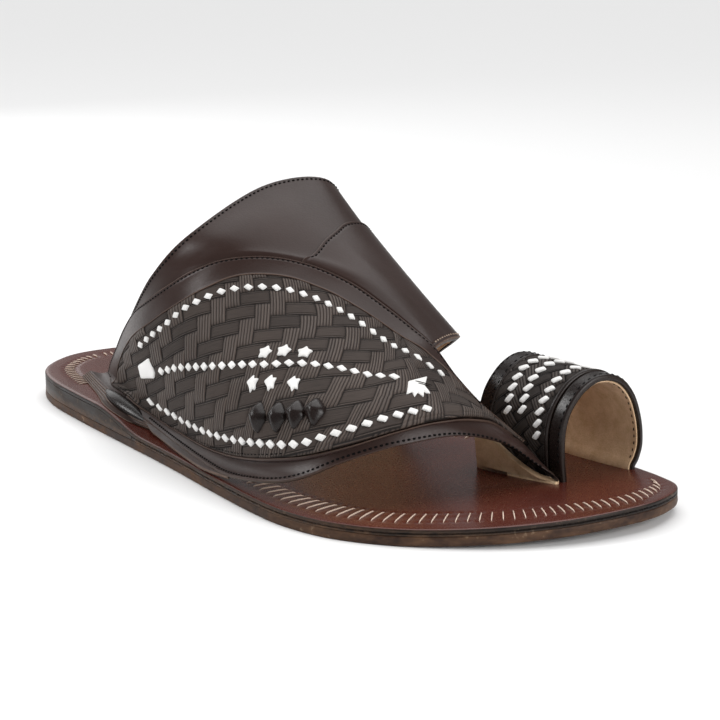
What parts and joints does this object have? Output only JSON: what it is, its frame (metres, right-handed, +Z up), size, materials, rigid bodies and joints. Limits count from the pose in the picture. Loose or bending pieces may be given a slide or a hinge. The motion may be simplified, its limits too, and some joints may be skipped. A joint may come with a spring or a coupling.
{
  "type": "arabic sandal",
  "caption": "Right arabic sandal: flat leather sole, broad crossed instep strap with a side panel, toe post and a loop for the big toe.",
  "frame": {"origin": "on the floor under the middle of the sole's length, on the outsole's flat underside", "axes": "+X from heel to toe, +Y to the inner side of the foot, +Z up"},
  "size_m": [0.2852, 0.118, 0.0949],
  "materials": {
    "sole_leather": "matt brown sole leather, slightly mottled",
    "edge_finish": "dark painted edge",
    "insole_leather": "burgundy leather with a soft shine",
    "upper_leather": "dark brown smooth leather, woven insert on the side panel",
    "ring_leather": "dark brown leather, woven in the middle",
    "lining": "tan suede"
  },
  "bodies": {
    "root": {"outsole": "sole_leather", "midsole": "edge_finish", "insole": "insole_leather", "upper": "upper_leather", "toe_ring": "ring_leather", "toe_post": "lining"}
  },
  "joints": []
}
